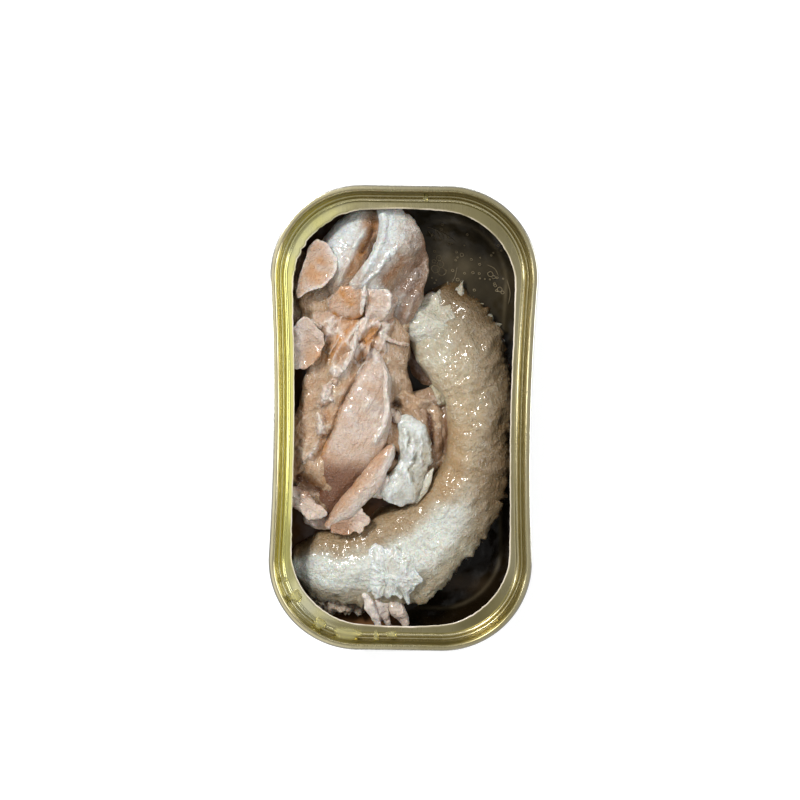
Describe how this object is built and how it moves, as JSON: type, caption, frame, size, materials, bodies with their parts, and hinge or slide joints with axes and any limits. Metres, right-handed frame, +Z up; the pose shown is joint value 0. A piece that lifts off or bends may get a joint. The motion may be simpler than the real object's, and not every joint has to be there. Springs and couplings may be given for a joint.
{
  "type": "tin of salmon",
  "caption": "Opened oblong fish tin with a seamed rim and a torn-out lid, holding pale salmon flakes and a curved strip of salmon in dark jelly.",
  "frame": {"origin": "middle of the tin's base, on the surface it stands on", "axes": "+Z up, out of the opened top; +Y along the tin, to the end where the jelly shows; +X across it"},
  "size_m": [0.06, 0.105, 0.028],
  "materials": {
    "silver_tin": "satin",
    "gold_lacquer": "clear gold lacquer, glossy",
    "dark_jelly": "wet",
    "pale_salmon": "wet",
    "pink_salmon": "wet",
    "brown_salmon": "wet"
  },
  "bodies": {
    "root": {"belly_strip": "pale_salmon", "brown_flake": "brown_salmon", "brown_fold": "brown_salmon", "can_body": "silver_tin", "centre_chunk": "pale_salmon", "chipped_flake": "pink_salmon", "curled_flake": "pink_salmon", "fat_patch_left": "pink_salmon", "fat_patch_right": "pink_salmon", "fold_left": "pink_salmon", "fold_right": "pink_salmon", "folded_middle": "pink_salmon", "grey_flake": "brown_salmon", "inner_nub": "pale_salmon", "jelly": "dark_jelly", "leaf_flake": "pink_salmon", "lid_ring": "gold_lacquer", "main_fillet": "pink_salmon", "middle_flake": "pale_salmon", "pale_nub": "pale_salmon", "pink_flake": "pink_salmon", "rolled_edge": "pink_salmon", "side_fillet": "pink_salmon", "sunken_lump": "brown_salmon", "tail_scrap": "brown_salmon", "tip_pale": "pale_salmon", "tip_pink": "pink_salmon", "tip_tan": "brown_salmon", "torn_skin": "pale_salmon", "upper_lobe_left": "pale_salmon", "upper_lobe_right": "pale_salmon", "wall_scrap": "brown_salmon", "white_sliver": "pale_salmon"}
  },
  "joints": []
}
